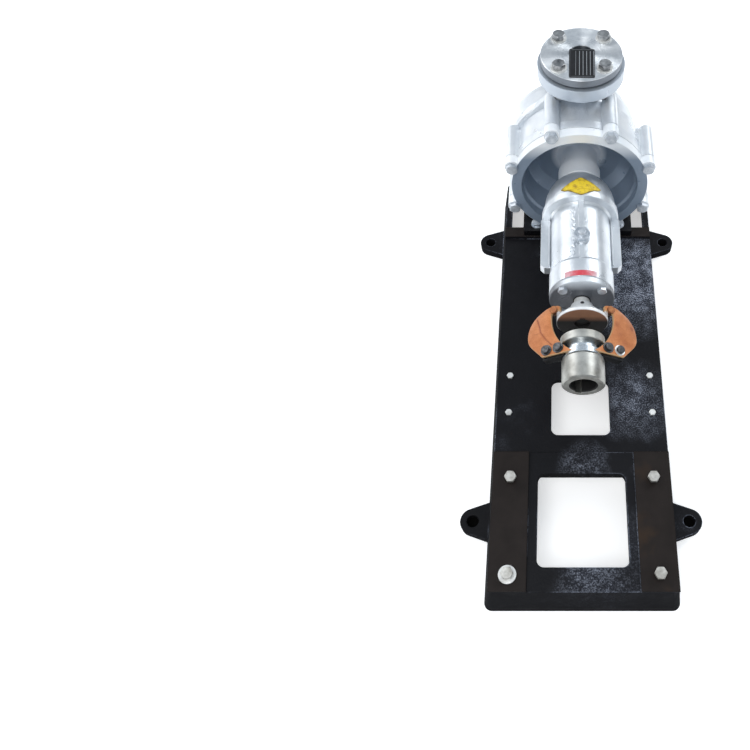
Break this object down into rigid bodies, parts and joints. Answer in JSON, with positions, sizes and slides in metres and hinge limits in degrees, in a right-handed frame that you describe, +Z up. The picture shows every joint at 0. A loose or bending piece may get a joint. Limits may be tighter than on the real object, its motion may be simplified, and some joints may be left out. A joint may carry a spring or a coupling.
{
  "type": "hot oil centrifugal pump",
  "caption": "Horizontal end-suction hot oil pump on a cast baseplate, with an air-cooled neck, a bearing housing and a flexible strap coupling.",
  "frame": {"origin": "centre of the four foundation holes, at floor level", "axes": "+X across the base to the right seen from the coupling end, +Y along the shaft from the coupling to the suction flange, +Z up"},
  "size_m": [0.3798, 0.837, 0.398],
  "materials": {
    "black_paint": "semi-gloss black machinery paint on cast iron",
    "silver_paint": "silver machinery paint on cast iron",
    "recess_paint": "silver paint, seen in the shade of the recess",
    "machined_steel": "turned, slightly oily",
    "turned_iron": "turned, faintly yellow",
    "bolt_steel": "zinc plated",
    "dark_steel": "blackened",
    "bearing_steel": "ground",
    "brass": "machined",
    "bronze": "machined",
    "black_iron": "black",
    "impeller_iron": "as cast, rim turned",
    "gasket": "compressed fibre sheet",
    "seal_rubber": "nitrile",
    "carbon": "carbon graphite",
    "leather": "oiled tan leather"
  },
  "bodies": {
    "pump_frame": {"baseplate": "black_paint", "motor_bolts": "bolt_steel", "motor_washer": "bolt_steel", "guard_screws": "bolt_steel", "casing": "silver_paint", "casing_drain_plug": "bolt_steel", "foot_bolts": "bolt_steel", "foot_washers": "bolt_steel", "cover_gasket": "gasket", "casing_cover": "recess_paint", "cover_bolts": "bolt_steel", "suction_wear_ring": "bronze", "cover_wear_ring": "bronze", "discharge_gasket": "gasket", "companion_flange": "machined_steel", "flange_bolts": "bolt_steel", "flange_washers": "bolt_steel", "flange_nuts": "bolt_steel", "throttle_bush": "carbon", "seal_seat": "carbon", "bearing_housing": "silver_paint", "housing_set_screws": "dark_steel", "drive_end_cap": "silver_paint", "cap_gasket": "gasket", "cap_bolts": "bolt_steel", "cap_oil_seal": "seal_rubber", "inner_oil_seal": "seal_rubber", "breather_plug": "bolt_steel", "housing_drain_plug": "bolt_steel", "front_bearing_outer_ring": "bearing_steel", "rear_bearing_outer_ring": "bearing_steel"},
    "rotor": {"shaft": "machined_steel", "shaft_sleeve": "machined_steel", "impeller": "impeller_iron", "impeller_key": "machined_steel", "impeller_nut": "machined_steel", "seal_face_ring": "carbon", "seal_spring": "machined_steel", "seal_collar": "machined_steel", "front_bearing_inner_ring": "bearing_steel", "rear_bearing_inner_ring": "bearing_steel", "bearing_circlip": "dark_steel", "coupling_key": "machined_steel", "pump_half_coupling": "machined_steel", "coupling_set_screw": "dark_steel", "strap_left": "leather", "strap_right": "leather", "strap_screws": "dark_steel"},
    "front_ball_set": {"front_bearing_balls": "bearing_steel", "front_bearing_cage": "brass"},
    "rear_ball_set": {"rear_bearing_balls": "bearing_steel", "rear_bearing_cage": "brass"},
    "motor_half": {"motor_half_coupling": "turned_iron", "strap_lugs": "black_iron", "strap_bolts": "dark_steel", "strap_washers": "bolt_steel"}
  },
  "joints": [
    {"name": "shaft_spin", "type": "hinge", "parent": "pump_frame", "child": "rotor", "pos_m": [0, 0, 0.212], "axis": [0, 1, 0], "continuous": true},
    {"name": "front_ball_set_spin", "type": "hinge", "parent": "pump_frame", "child": "front_ball_set", "pos_m": [0, 0.031, 0.212], "axis": [0, 1, 0], "continuous": true},
    {"name": "rear_ball_set_spin", "type": "hinge", "parent": "pump_frame", "child": "rear_ball_set", "pos_m": [0, 0.1275, 0.212], "axis": [0, 1, 0], "continuous": true},
    {"name": "coupling_flex", "type": "hinge", "parent": "rotor", "child": "motor_half", "pos_m": [0, -0.05, 0.212], "axis": [0, 1, 0], "range_deg": [-3, 3], "stiffness_Nm_per_rad": 12, "deforming": ["strap_left", "strap_right"]}
  ],
  "couplings": [
    {"joint": "front_ball_set_spin", "follows": "shaft_spin", "ratio": 0.3794},
    {"joint": "rear_ball_set_spin", "follows": "shaft_spin", "ratio": 0.3794}
  ]
}
